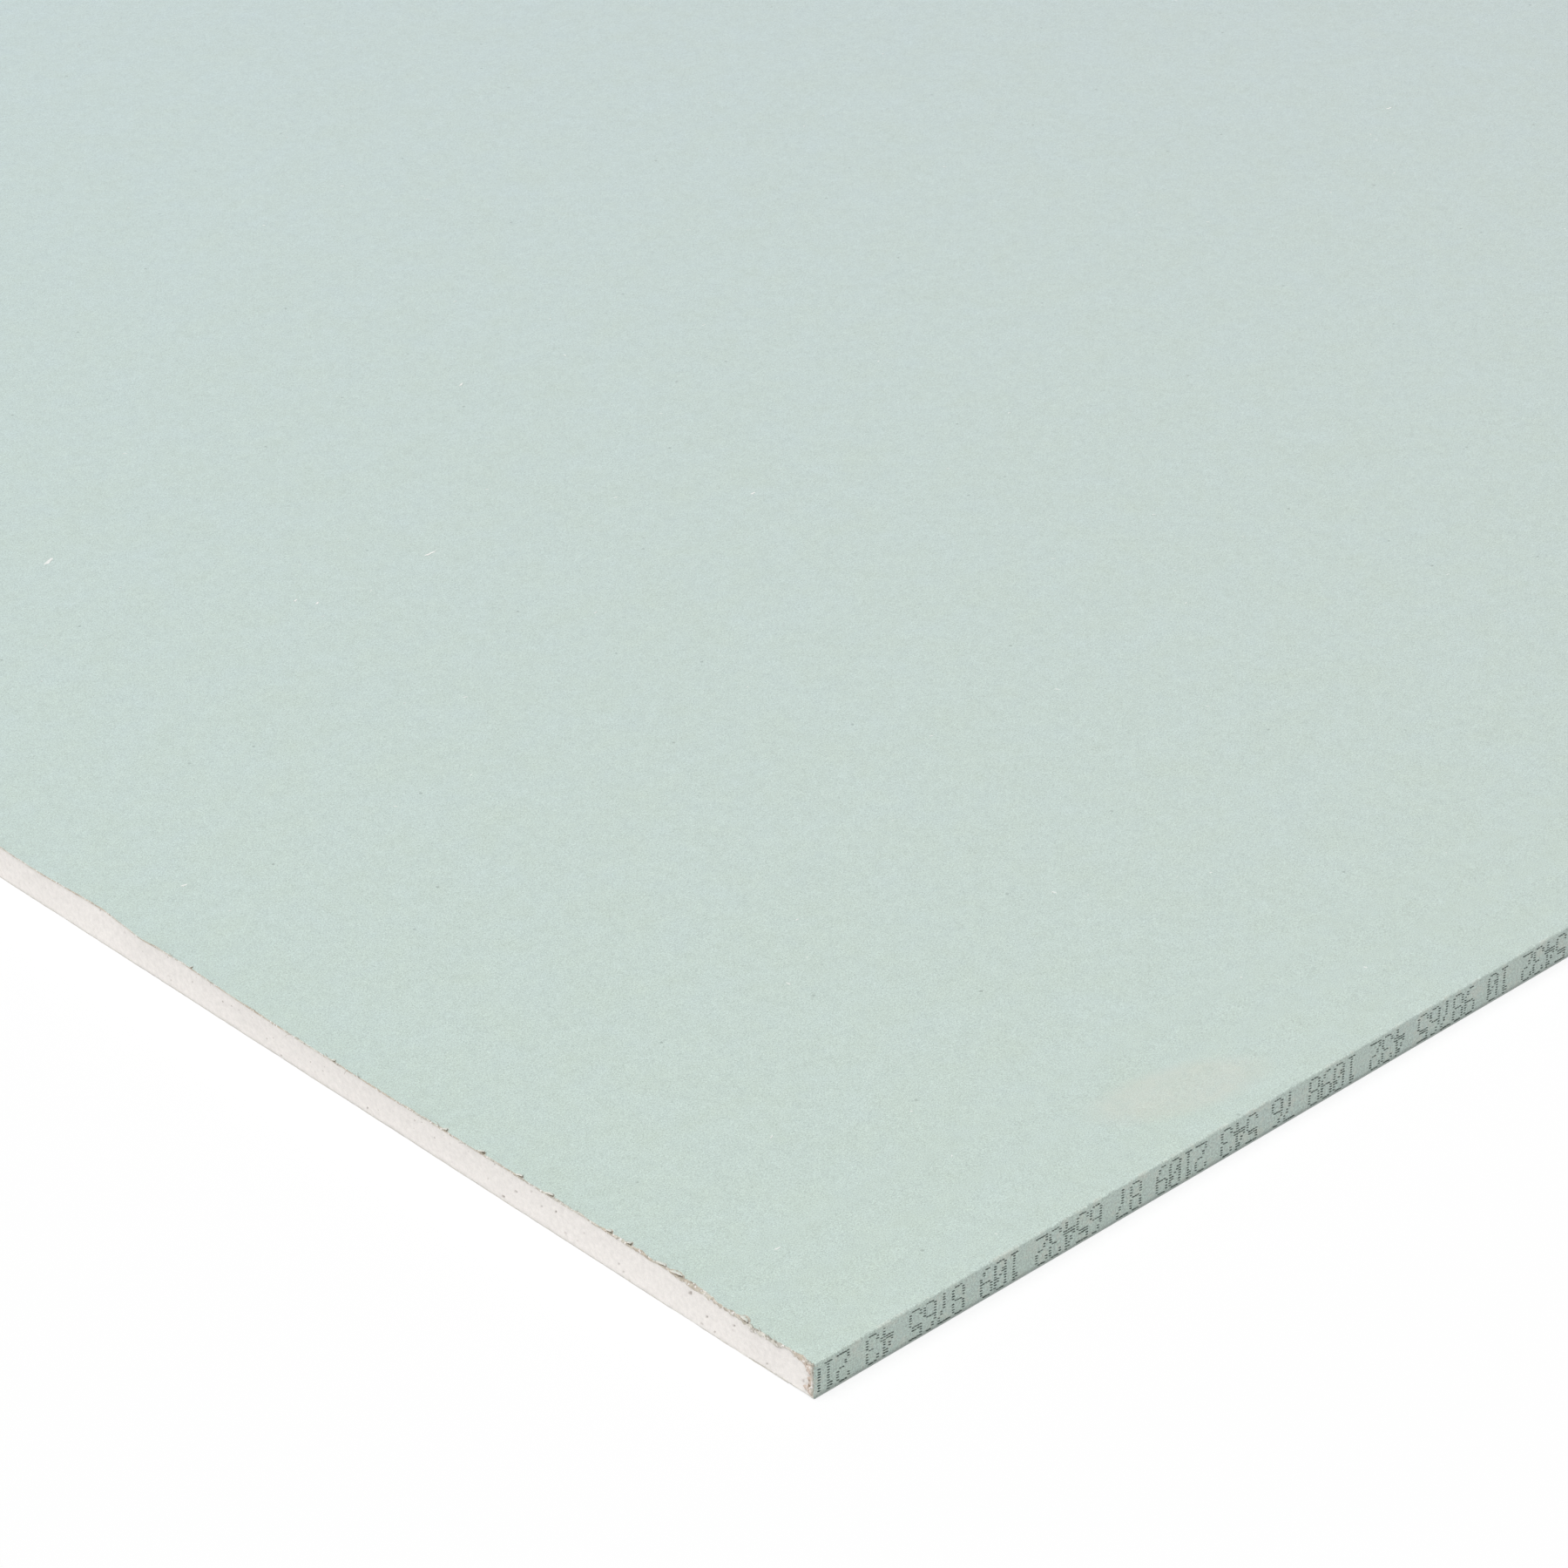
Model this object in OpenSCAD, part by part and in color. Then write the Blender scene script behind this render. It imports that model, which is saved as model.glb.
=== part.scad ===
// Gypsum drywall sheet with tapered long edges: a plaster core between two papers.
// The face paper covers the face, turns down both long edges and folds under the back.
// The back paper covers the back and laps over the two folded flaps.
// The sheet lies on its back: +X along its length, +Y across its width, +Z out of its face.
// The origin is at the middle of the back. All lengths are in millimetres.

/* [Sheet] */
// Length between the two cut ends
sheet_length = 2400; // [1200:50:3600]
// Width between the two wrapped long edges
sheet_width = 1200; // [400:50:1250]
// Thickness away from the long edges, with both papers
sheet_thickness = 12.5; // [9.5:0.5:18]

/* [Tapered long edges] */
// Width of the taper, from the long edge to the crease on the face
taper_width = 60; // [40:1:80]
// How much thinner the sheet is at its long edges
taper_depth = 1.0; // [0.6:0.1:2.5]
// Inside radius of the fold from the face down to the long edge
face_bend_radius = 0.15; // [0.05:0.05:2]
// Inside radius of the fold from the long edge under the back
back_bend_radius = 0.15; // [0.05:0.05:2]

/* [Papers] */
// Thickness of the face paper
face_paper_thickness = 0.35; // [0.2:0.05:0.5]
// Thickness of the back paper
back_paper_thickness = 0.3; // [0.2:0.05:0.5]
// Width of each flap of face paper under the back, from the long edge
flap_width = 25; // [16:1:40]
// Strip of each flap that the back paper leaves bare
bare_flap_width = 10; // [4:1:15]

/* [Hidden] */

// Flat faces that make up one fold of the paper
bend_steps = 6;

half_width = sheet_width / 2;
flap_end = half_width - flap_width;
taper_angle = atan2(taper_depth, taper_width);

// Height at which the slope of the taper would meet the long edge
edge_height = sheet_thickness - taper_depth;

// Outside radii of the two folds
face_bend_outside = face_bend_radius + face_paper_thickness;
back_bend_outside = back_bend_radius + face_paper_thickness;

// Each fold is tangent to the two faces that it joins
face_bend_centre = [
    half_width - face_bend_outside,
    edge_height - face_bend_outside * (1 - sin(taper_angle)) / cos(taper_angle)
];
back_bend_centre = [
    half_width - back_bend_outside,
    back_paper_thickness + back_bend_outside
];

function reversed(path) = [for (i = [len(path) - 1 : -1 : 0]) path[i]];
function mirrored(path) = [for (p = path) [-p.x, p.y]];

// Points of one fold, from one angle to another
function bend(centre, radius, from, to) = [
    for (step = [0 : bend_steps])
        let (angle = from + (to - from) * step / bend_steps)
        centre + radius * [cos(angle), sin(angle)]
];

// Crease where the face turns into the taper, on a surface set in from the face
function crease(inset) = [
    half_width - taper_width - inset * tan(taper_angle / 2),
    sheet_thickness - inset
];

// Section of one half of the wrap, from the crease down the long edge to the end of the flap.
// An inset of zero is the outside of the face paper, and its thickness gives the inside.
function half_wrap(inset) = concat(
    [crease(inset)],
    bend(face_bend_centre, face_bend_outside - inset, 90 - taper_angle, 0),
    bend(back_bend_centre, back_bend_outside - inset, 0, -90),
    [[flap_end, back_paper_thickness + inset]]
);

// Section of the whole wrap, from the end of one flap over the face to the end of the other
function wrap(inset) = concat(reversed(mirrored(half_wrap(inset))), half_wrap(inset));

// Runs a section, drawn across the width and up, along the whole length
module along_sheet() {
    rotate([90, 0, 90])
        linear_extrude(sheet_length, center = true)
            children();
}

// Plaster core: it fills the wrap and reaches down between the flaps to the back paper
module gypsum_core() {
    between_flaps = [
        [flap_end, back_paper_thickness],
        [-flap_end, back_paper_thickness]
    ];
    color([0.92, 0.91, 0.89])
        along_sheet()
            polygon(concat(wrap(face_paper_thickness), between_flaps));
}

// Green face paper: one sheet, folded round both long edges
module face_paper() {
    color([0.78, 0.84, 0.81])
        along_sheet()
            polygon(concat(wrap(0), reversed(wrap(face_paper_thickness))));
}

// Grey back paper: a flat sheet that laps over both flaps
module back_paper() {
    back_half_width = half_width - bare_flap_width;
    color([0.72, 0.69, 0.63])
        along_sheet()
            translate([-back_half_width, 0])
                square([2 * back_half_width, back_paper_thickness]);
}

gypsum_core();
face_paper();
back_paper();
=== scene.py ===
"""Moisture-resistant gypsum drywall sheet, dressed for a studio picture.

The plaster core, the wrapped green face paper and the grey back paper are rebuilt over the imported
solids with broken plaster, torn paper ends, loose fibres, edge numbers and lint.
"""
import math

import bpy
import numpy as np
from bpy.props import FloatProperty, FloatVectorProperty, IntProperty, PointerProperty
from bpy.types import Operator, Panel, PropertyGroup
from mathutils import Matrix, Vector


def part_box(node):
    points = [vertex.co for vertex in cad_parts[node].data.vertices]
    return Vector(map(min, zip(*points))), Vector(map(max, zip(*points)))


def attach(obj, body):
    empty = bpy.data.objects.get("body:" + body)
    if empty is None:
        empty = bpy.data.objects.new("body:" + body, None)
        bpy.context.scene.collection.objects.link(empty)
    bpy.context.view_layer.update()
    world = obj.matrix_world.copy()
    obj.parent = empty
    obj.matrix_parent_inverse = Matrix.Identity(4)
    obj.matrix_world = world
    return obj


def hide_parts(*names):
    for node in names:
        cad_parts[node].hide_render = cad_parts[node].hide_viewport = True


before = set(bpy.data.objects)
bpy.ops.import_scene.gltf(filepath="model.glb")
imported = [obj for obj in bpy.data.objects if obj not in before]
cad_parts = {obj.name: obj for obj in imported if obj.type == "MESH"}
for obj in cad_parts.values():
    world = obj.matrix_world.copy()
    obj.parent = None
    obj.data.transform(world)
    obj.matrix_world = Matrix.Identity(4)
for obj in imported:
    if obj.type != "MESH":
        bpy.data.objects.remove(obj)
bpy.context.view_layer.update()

bl_info = {
    "name": "Drywall sheet",
    "version": (1, 0, 0),
    "blender": (4, 5, 0),
    "location": "View3D > Sidebar > Drywall",
    "description": "Gypsum drywall sheet with a wrapped paper face, broken ends and numbered edge",
    "category": "Object",
}

MM = 0.001
BODY = "root"
NEAR, FAR = -1, 1

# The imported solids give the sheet's own sizes
CORE_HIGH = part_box("gypsum_core")[1]
PAPER_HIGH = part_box("face_paper")[1]
BACK_LOW, BACK_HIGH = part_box("back_paper")
HALF_LENGTH, HALF_WIDTH, FACE_HEIGHT = PAPER_HIGH
FACE_PAPER = PAPER_HIGH.z - CORE_HIGH.z
BACK_PAPER = BACK_HIGH.z
BACK_HALF_WIDTH = BACK_HIGH.y
# Points of a torn end above this height belong to the face
FACE_ZONE = CORE_HIGH.z - 2 * MM
# How far from the long edges the corners are crushed
CORNER_REACH = 4 * MM

# How the torn paper of the near cut end strays from the straight cut, in millimetres:
# the distance from the near corner, and how far the tear is set in there
NEAR_STRAY = (
    (0, 0.0), (2, 0.4), (5, 0.8), (10, 0.6), (14, -0.3), (24, -0.6), (30, 0.2), (50, 0.2),
    (90, 0.0), (130, -0.5), (170, -1.1), (215, -1.4), (250, -1.2), (275, -0.4), (297, -1.2),
    (318, 0.6), (330, 0.2), (350, -0.7), (400, -0.4),
)
# How frayed the near tear is: the distance from the near corner in millimetres, and a share
NEAR_FRAY = (
    (0, 1.1), (15, 1.25), (38, 1.25), (60, 0.6), (100, 0.42), (140, 0.32), (190, 0.25),
    (250, 0.15), (400, 0.08),
)
# Past the last of these places the tear turns random, over this distance in millimetres
BLEND = 100
# Deep pits of the near cut end, in millimetres: distance from the near corner, height and radius
NEAR_PITS = (
    (127.4, 1.6, 0.55), (97.4, 1.2, 0.4), (48.8, 9.3, 0.6), (188.5, 1.9, 0.55), (110.2, 6.6, 0.35),
    (121.5, 6.3, 0.4), (104.5, 8.0, 0.35), (39.1, 1.2, 0.45), (42.2, 4.9, 0.4), (31.4, 7.8, 0.4),
)
# Curled flakes of the near tear, in millimetres: distance from the near corner and length
NEAR_CURLS = (
    (27.1, 4.0), (54.6, 5.4), (60.9, 4.6), (74.0, 2.4), (82.2, 2.6), (107.0, 3.6), (119.7, 3.2),
    (136.0, 3.2), (152.0, 2.0), (202.0, 1.6), (272.0, 1.0),
)
# Random flakes of each tear: how many, how far from the corner they start, and their lengths
OTHER_CURLS = 20
OTHER_CURLS_FROM = 310 * MM
OTHER_CURL_LENGTHS = (2 * MM, 4.5 * MM)
# Points along a flake, and the length from which it stands up in full
CURL_STATIONS = 12
FULL_CURL = 3 * MM
# Section of a flake from its inner side over the top to the outer side, which rolls up, and back below:
# how far in and how far rolled up as shares of its width, below or not, bareness and paleness
CURL_SECTION = np.array((
    (1, 0, 0, 0.0, 0.1), (0.5, 0.05, 0, 0.0, 0.7), (0, 0.3, 0, 0.2, 1.0),
    (0, 0.3, 1, 1.0, 0.7), (0.5, 0.05, 1, 1.0, 0.1), (1, 0, 1, 1.0, 0.0),
))
# Lumps of ply to a millimetre of tear
LUMPS = 0.12

# Lint of the face, in millimetres: distances from the near corner along and across, length and width
NEAR_LINT = (
    (127.0, 521.5, 4.6, 1.6), (228.5, 433.4, 4.4, 1.0), (327.2, 533.8, 2.4, 1.0),
    (344.0, 389.6, 1.9, 0.9), (27.4, 311.7, 1.8, 1.0), (171.5, 438.1, 1.5, 0.9),
    (175.8, 431.4, 1.5, 0.9), (220.9, 122.0, 1.4, 0.6), (799.7, 472.7, 2.6, 1.0),
    (124.5, 140.6, 1.4, 0.6), (28.9, 44.3, 1.8, 0.6),
)
# Random lint, with its least and greatest sizes
LINT_COUNT = 420
LINT_LENGTHS = (0.5 * MM, 1.5 * MM)
LINT_WIDTHS = (0.3 * MM, 0.6 * MM)
LINT_THICKNESS = 0.16 * MM
LINT_RAISE = 0.04 * MM
# Strip along the sheet's rim without random lint
LINT_MARGIN = 5 * MM

# Rows of dots of the plain ten digits, from the top, five dots wide
DIGITS = (
    "01110 10001 10011 10101 11001 10001 01110", "00100 01100 00100 00100 00100 00100 01110",
    "01110 10001 00001 00110 01000 10000 11111", "01110 10001 00001 00110 00001 10001 01110",
    "00010 00110 01010 10010 11111 00010 00010", "11111 10000 11110 00001 00001 10001 01110",
    "00110 01000 10000 11110 10001 10001 01110", "11111 00001 00010 00100 00100 00100 00100",
    "01110 10001 10001 01110 10001 10001 01110", "01110 10001 10001 01111 00001 00010 01100",
)
DIGIT_COLUMNS = 5
# The printer draws each digit tall, so it repeats some of the rows
TALL_ROWS = (0, 1, 1, 2, 2, 3, 4, 4, 5, 5, 6)
# Digits in each group of the running numbers, which then start again
GROUP_SIZES = (3, 2, 4, 3, 5, 2, 4)

# Seeds of what is strewn at random, to which each cut end adds its own number
SEEDS = {"pits": 51, "fringe": 81, "curls": 87, "print": 91, "lint": 101}
# Noises of the shapes: a seed, used in the same way, and the size of the features in millimetres
NOISES = {
    "stray_wide": (11, 95), "stray": (15, 30), "fray": (17, 70), "tear_wide": (21, 9), "tear": (23, 2.6),
    "tear_fine": (25, 0.9), "burst": (31, 7), "thin": (35, 1.7), "rise": (41, 5), "fold": (45, 1.1),
    "fold_wide": (47, 5), "flake": (49, 0.8), "pit_shape": (57, 0.5), "grit": (61, 2.4),
    "grit_fine": (65, 0.9), "crumble": (71, 4), "clump": (83, 6),
}


def linear(hex_colour):
    """An sRGB hex value as linear red, green, blue and alpha."""
    channels = [int(hex_colour[i:i + 2], 16) / 255 for i in (0, 2, 4)]
    lit = [c / 12.92 if c <= 0.04045 else ((c + 0.055) / 1.055) ** 2.4 for c in channels]
    return (*lit, 1.0)


def length(name, description, default):
    """A length that a user may change, in metres."""
    return FloatProperty(name=name, description=description, default=default, min=0, precision=5,
                         unit="LENGTH")


def angle(name, description, degrees):
    """An angle that a user may change."""
    return FloatProperty(name=name, description=description, default=math.radians(degrees), subtype="ANGLE")


def strength(name, description, default):
    """A strength or a density that a user may change."""
    return FloatProperty(name=name, description=description, default=default, min=0)


def colour(name, description, hex_colour):
    """A colour that a user may change."""
    return FloatVectorProperty(name=name, description=description, default=linear(hex_colour),
                               size=4, min=0, max=1, subtype="COLOR")


class DrywallEdgeSizes(PropertyGroup):
    """Section of the wrapped long edges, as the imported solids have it."""

    taper_width: length("Taper width", "From the long edge to the crease on the face", 60 * MM)
    taper_depth: length("Taper depth", "How much thinner the sheet is at its long edges", 1 * MM)
    face_bend: length("Face bend", "Inside radius of the fold from the face to the long edge", 0.15 * MM)
    back_bend: length("Back bend", "Inside radius of the fold from the long edge to the back", 0.15 * MM)
    flap_width: length("Flap width", "Face paper folded under the back", 25 * MM)
    bend_steps: IntProperty(name="Bend steps", description="Flat faces in one fold", default=6, min=3)


class DrywallCutSizes(PropertyGroup):
    """Torn paper and broken plaster of the two cut ends."""

    paper_step: length("Paper step", "Spacing of the points along the tear", 0.45 * MM)
    core_step: length("Core step", "Spacing of the points on the broken plaster", 0.6 * MM)
    ragged: length("Ragged", "How far the tear wavers from point to point", 0.16 * MM)
    bare_ply: length("Bare ply", "Brown inner ply that shows where the green ply came away", 0.9 * MM)
    lift: length("Lift", "How far the torn edge of the paper stands up", 0.4 * MM)
    fold: length("Fold", "How far torn plies fold over the rim of the plaster", 0.9 * MM)
    corner_fold: length("Corner fold", "The same fold at the corners", 3.6 * MM)
    corner_droop: length("Corner droop", "How far the face is crushed down at the corners", 0.6 * MM)
    plaster_grit: length("Plaster grit", "Height of the grit on the broken plaster", 0.07 * MM)
    pit_radius: length("Pit radius", "Radius of a usual pit in the plaster", 0.6 * MM)
    pits: IntProperty(name="Pits", description="Pits in each cut end", default=90, min=0)
    fuzz: strength("Fuzz", "Short fibres to a millimetre of frayed tear", 3.0)
    fuzz_length: length("Fuzz length", "Length of a usual short fibre", 0.6 * MM)
    fuzz_width: length("Fuzz width", "Thickness of a short fibre at its root", 0.14 * MM)
    hairs: strength("Hairs", "Long fibres to a millimetre of frayed tear", 0.5)
    hair_length: length("Hair length", "Length of a usual long fibre", 1.5 * MM)
    hair_width: length("Hair width", "Thickness of a long fibre at its root", 0.22 * MM)
    lump_size: length("Lump size", "Length of a lump of torn ply", 0.8 * MM)
    curl_width: length("Curl width", "Width of a curled flake of paper", 1.15 * MM)
    curl_height: length("Curl height", "How far a curled flake stands up", 1.2 * MM)
    curl_thickness: length("Curl thickness", "Thickness of a curled flake", 0.16 * MM)


class DrywallPrintSizes(PropertyGroup):
    """Dot printing of the running numbers on the near long edge."""

    digit_pitch: length("Digit pitch", "From one digit to the next", 5.5 * MM)
    column_pitch: length("Column pitch", "From one column of dots to the next", 1.0 * MM)
    row_pitch: length("Row pitch", "From one row of dots to the next", 0.9 * MM)
    dot_length: length("Dot length", "Length of one dot along the edge", 1.35 * MM)
    dot_height: length("Dot height", "Height of one dot", 0.52 * MM)
    slant: angle("Slant", "Dip of each dot to the far end", 14)
    drop: length("Drop", "How far the print lies below the middle of the edge", 0.4 * MM)
    ink_film: length("Ink film", "How far the ink stands on the paper", 0.03 * MM)


class DrywallColours(PropertyGroup):
    """Colours of the papers, the plaster, the ink and the stage."""

    face: colour("Face paper", "Green dyed face ply at the near corner", "CAD9CF")
    face_dull: colour("Face paper, dull", "The face ply farther along the sheet", "C7D2CC")
    face_cool: colour(
        "Face paper, cool", "Blue that clouds the face ply, more so across the sheet", "CEE2FC")
    face_smear: colour("Smear", "Dried plaster dust rubbed into the face", "D9D6CA")
    ply: colour("Inner ply", "Pale grey inner plies of the face paper", "D8D5CA")
    ply_tan: colour("Inner ply, tan", "Tan patches of the inner plies", "CCC1B0")
    ply_corner: colour("Inner ply, corner", "Pinkish plies frayed over the corners", "D7C5B8")
    ply_dark: colour("Inner ply, dark", "Soiled inner plies", "B2AB9F")
    # Near-white colour on the top and the rim of each curled flake
    pale_flake_rim: colour("Peeled ply", "Pale rim of a curled flake", "EFECE3")
    # Painted shadow in the gap under a curled flake
    gap: colour("Gap", "Dark gap under a curled flake", "BAB2A3")
    speck: colour("Speck", "Brown specks in the torn plies", "8A735C")
    plaster: colour("Plaster", "Broken plaster", "F0ECE8")
    # Painted shade inside the pores and pits of the plaster
    pore_shade: colour("Pore", "Inside of a pore in the plaster", "958980")
    back: colour("Back paper", "Recycled grey back paper", "B9B2A6")
    back_fibre: colour("Back fibre", "Darker fibres of the back paper", "8F8779")
    back_end: colour("Back end", "Pale torn end of the back paper", "DAD6CE")
    # The ink colour also darkens the lower crease of the long edges, as painted shade
    ink: colour("Ink", "Grey-green printing ink", "434F49")
    lint: colour("Lint", "White lint on the face", "F6F7F4")
    floor: colour("Floor", "Studio floor", "FEFEFE")


class DrywallStage(PropertyGroup):
    """Camera, lamps and floor."""

    camera_offset: FloatVectorProperty(
        name="Camera", description="Camera place, from the bottom of the near corner",
        default=(-691.0 * MM, -715.7 * MM, 763.6 * MM), subtype="TRANSLATION", unit="LENGTH")
    heading: angle("Heading", "Turn of the view from the sheet's length", 46.46)
    pitch: angle("Pitch", "Dip of the view below the horizon", 29.97)
    lens: FloatProperty(name="Lens", description="Focal length", default=106.7, unit="CAMERA")
    sky: strength("Sky", "Strength of the even light from all sides", 0.24)
    key: strength("Key", "Strength of the key lamp", 2.54)
    key_height: angle("Key height", "Key lamp above the horizon", 66)
    key_turn: angle("Key turn", "Key lamp's turn from the near cut end", -3)
    key_softness: angle("Key softness", "Width of the key lamp as seen from the sheet", 50)
    floor_size: length("Floor size", "Side of the floor", 30.0)
    floor_glow: FloatProperty(name="Floor glow", description="Share of pure white in the floor's look",
                              default=0.8, min=0, max=1, subtype="FACTOR")
    floor_gap: length("Floor gap", "Floor below the sheet's back", 0.1 * MM)
    back_light: strength("Back light", "Light that reaches the back through the floor", 0.7)
    back_reach: length("Back reach", "How far below the sheet this light starts", 1.5 * MM)


# Nodes

def add(tree, kind, inputs=None, **settings):
    """Adds a node with its settings, and sets or links its inputs by name or number.

    A node among the inputs is linked by its first output in use.
    """
    node = tree.nodes.new(kind)
    for name, value in settings.items():
        setattr(node, name, value)
    for socket, value in (inputs or {}).items():
        if isinstance(value, bpy.types.Node):
            value = next(output for output in value.outputs if output.enabled)
        if isinstance(value, bpy.types.NodeSocket):
            tree.links.new(value, node.inputs[socket])
        else:
            node.inputs[socket].default_value = value
    return node


def per_metre(millimetres):
    """Scale of a pattern on coordinates in metres, from the real size of one of its features."""
    return 1 / (millimetres * MM)


def new_material(name):
    """An empty material, its node tree and the object's own coordinates."""
    material = bpy.data.materials.new(name)
    material.use_nodes = True
    tree = material.node_tree
    tree.nodes.clear()
    return material, tree, add(tree, "ShaderNodeTexCoord").outputs["Object"]


def finish_material(tree, skin, roughness, specular, relief=None, ior=1.45):
    """Ends a material with its shader and output; paper and fibres keep the usual index."""
    inputs = {"Base Color": skin, "Roughness": roughness, "IOR": ior, "Specular IOR Level": specular}
    if relief is not None:
        inputs["Normal"] = relief
    shader = add(tree, "ShaderNodeBsdfPrincipled", inputs)
    add(tree, "ShaderNodeOutputMaterial", {"Surface": shader})


def ply_colour(tree, place, colours, dark_share):
    """Colour of torn inner plies: grey with tan patches, dark in the given share of the noise's reach.

    The darkest places are brown specks.
    """
    patches = add(tree, "ShaderNodeTexNoise", {"Vector": place, "Scale": per_metre(9), "Detail": 2.0})
    soil = add(tree, "ShaderNodeTexNoise", {
        "Vector": place, "Scale": per_metre(1.6), "Detail": 4.0, "Roughness": 0.75})
    ply = colours.ply
    for noise, low, high, above in (
            (patches, 0.42, 0.58, colours.ply_tan),
            (soil, 0.62 - dark_share, 0.8 - dark_share, colours.ply_dark),
            (soil, 0.65, 0.72, colours.speck)):
        share = add(tree, "ShaderNodeMapRange", {"Value": noise, "From Min": low, "From Max": high})
        ply = add(tree, "ShaderNodeMix", {0: share, 6: ply, 7: above}, data_type="RGBA")
    return ply


def face_paper_material(colours):
    """Uncoated dyed liner paper: matt, with a fine felt of fibres that run along the sheet."""
    material, tree, place = new_material("uncoated green liner paper")
    axes = add(tree, "ShaderNodeSeparateXYZ", {"Vector": place}).outputs
    out = add(tree, "ShaderNodeMath", {0: axes["Y"]}, operation="ABSOLUTE")
    felted = add(tree, "ShaderNodeMapping", {"Vector": place, "Scale": (0.8, 1.0, 1.0)})
    ends = add(tree, "ShaderNodeTexVoronoi", {"Vector": place, "Scale": per_metre(0.42)})
    motes = add(tree, "ShaderNodeTexVoronoi", {"Vector": place, "Scale": per_metre(80)},
                voronoi_dimensions="2D")
    torn, gap, pale_flake_rim = (
        add(tree, "ShaderNodeAttribute", attribute_name=name).outputs["Fac"]
        for name in ("torn", "gap", "pale_flake_rim"))
    # Each noise has its coordinates, the size of its features in millimetres, detail and roughness.
    # The felt's fibres are coarser than the real ones, so that they show.
    noise = {}
    for name, vector, size, detail, roughness in (
            ("clouds", place, 20, 4, 0.8), ("mottle", place, 4.5, 3, 0.75), ("felt", felted, 0.3, 2, 0.7),
            ("undyed", place, 0.5, 1, 0.5), ("nap", place, 0.8, 3, 0.8), ("fray", place, 0.4, 3, 0.5),
            ("specks", place, 1.2, 2, 0.5), ("crumbs", place, 0.9, 2, 0.5)):
        noise[name] = add(tree, "ShaderNodeTexNoise", {
            "Vector": vector, "Scale": per_metre(size), "Detail": detail, "Roughness": roughness})
    # Each ramp has its source, two values of the source and what they become
    ramp = {}
    for name, source, low, high, start, end in (
            # The colour is duller along the sheet and bluer across it, with faint clouds
            ("dull", axes["X"], -HALF_LENGTH, 1.0 - HALF_LENGTH, 0, 1),
            ("blue", axes["Y"], -HALF_WIDTH, HALF_WIDTH, 0.05, 0.2),
            ("clouds", noise["clouds"], 0, 1, -0.12, 0.12),
            ("felt", noise["felt"], 0.25, 0.75, 0.78, 1.22),
            ("mottle", noise["mottle"], 0.3, 0.7, 0.97, 1.03),
            # Ends of fibres in the felt, about 0.4 mm apart, show as a crisp pale grain
            ("grain", ends, 0, 0.9, 0.1, -0.1),
            # A few fibres in the felt took no dye
            ("flecks", noise["undyed"], 0.68, 0.78, 0, 0.12),
            # A few motes of dirt, about 1 mm wide and 80 mm apart
            ("dirt", motes, 0.004, 0.009, -0.25, 0),
            # The long edges are handled more than the face, so they are rubbed up and dusty
            ("edge", out, HALF_WIDTH - 1.2 * MM, HALF_WIDTH - 0.4 * MM, 0, 1),
            ("nap", noise["nap"], 0.3, 0.7, -0.26, 0.26),
            ("dust", noise["mottle"], 0.5, 0.65, 0, 0.3),
            # Where the paper turns under the back, its crease is darkened towards the ink colour: painted
            # shade of the fold
            ("crease", axes["Z"], 0.4 * MM, 1.8 * MM, 0.32, 0),
            # At the corners the torn plies are pinkish, which the values above one mark
            ("corner", torn, 1.0, 1.5, 0, 0.8),
            ("specks", noise["specks"], 0.51, 0.58, 0, 1),
            ("crumbs", noise["crumbs"], 0.55, 0.63, 0, 1),
            # The flap under the back is cut clean, so its end is pale
            ("flap", axes["Z"], 0.7 * MM, 1.5 * MM, 1, 0)):
        ramp[name] = add(tree, "ShaderNodeMapRange", {
            "Value": source, "From Min": low, "From Max": high, "To Min": start, "To Max": end})

    cool = add(tree, "ShaderNodeMath", {0: ramp["blue"], 1: ramp["clouds"]},
               operation="ADD", use_clamp=True)
    face_tint = colours.face
    for share, above in ((ramp["dull"], colours.face_dull), (cool, colours.face_cool)):
        face_tint = add(tree, "ShaderNodeMix", {0: share, 6: face_tint, 7: above}, data_type="RGBA")
    shade = ramp["felt"]
    for name in ("grain", "flecks", "dirt"):
        shade = add(tree, "ShaderNodeMath", {0: shade, 1: ramp[name]}, operation="ADD")
    shade = add(tree, "ShaderNodeMath", {0: ramp["nap"], 1: ramp["edge"], 2: shade},
                operation="MULTIPLY_ADD")
    shade = add(tree, "ShaderNodeMath", {0: shade, 1: ramp["mottle"]}, operation="MULTIPLY")
    skin = add(tree, "ShaderNodeVectorMath", {0: face_tint, "Scale": shade}, operation="SCALE")

    # Rubbed smear of dust near the long edge: an even patch with soft ends, broken up by noise
    patch = place
    for setting, value in (
            ("Location", (HALF_LENGTH - 168 * MM, HALF_WIDTH - 21.5 * MM, -FACE_HEIGHT)),
            ("Rotation", (0, 0, math.radians(14))),
            ("Scale", (per_metre(34), per_metre(13), per_metre(10)))):
        patch = add(tree, "ShaderNodeMapping", {"Vector": patch, setting: value})
    fade = add(tree, "ShaderNodeTexGradient", {"Vector": patch}, gradient_type="SPHERICAL")
    even = add(tree, "ShaderNodeMapRange", {"Value": fade.outputs["Fac"], "From Max": 0.35, "To Max": 0.5})
    smear = add(tree, "ShaderNodeMath", {0: even, 1: noise["mottle"]}, operation="MULTIPLY")
    dust = add(tree, "ShaderNodeMath", {0: ramp["dust"], 1: ramp["edge"], 2: smear},
               operation="MULTIPLY_ADD")
    # Painted shade along the lower fold of the long edges, in the ink colour
    crease = add(tree, "ShaderNodeMath", {0: ramp["edge"], 1: ramp["crease"]}, operation="MULTIPLY")

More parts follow.
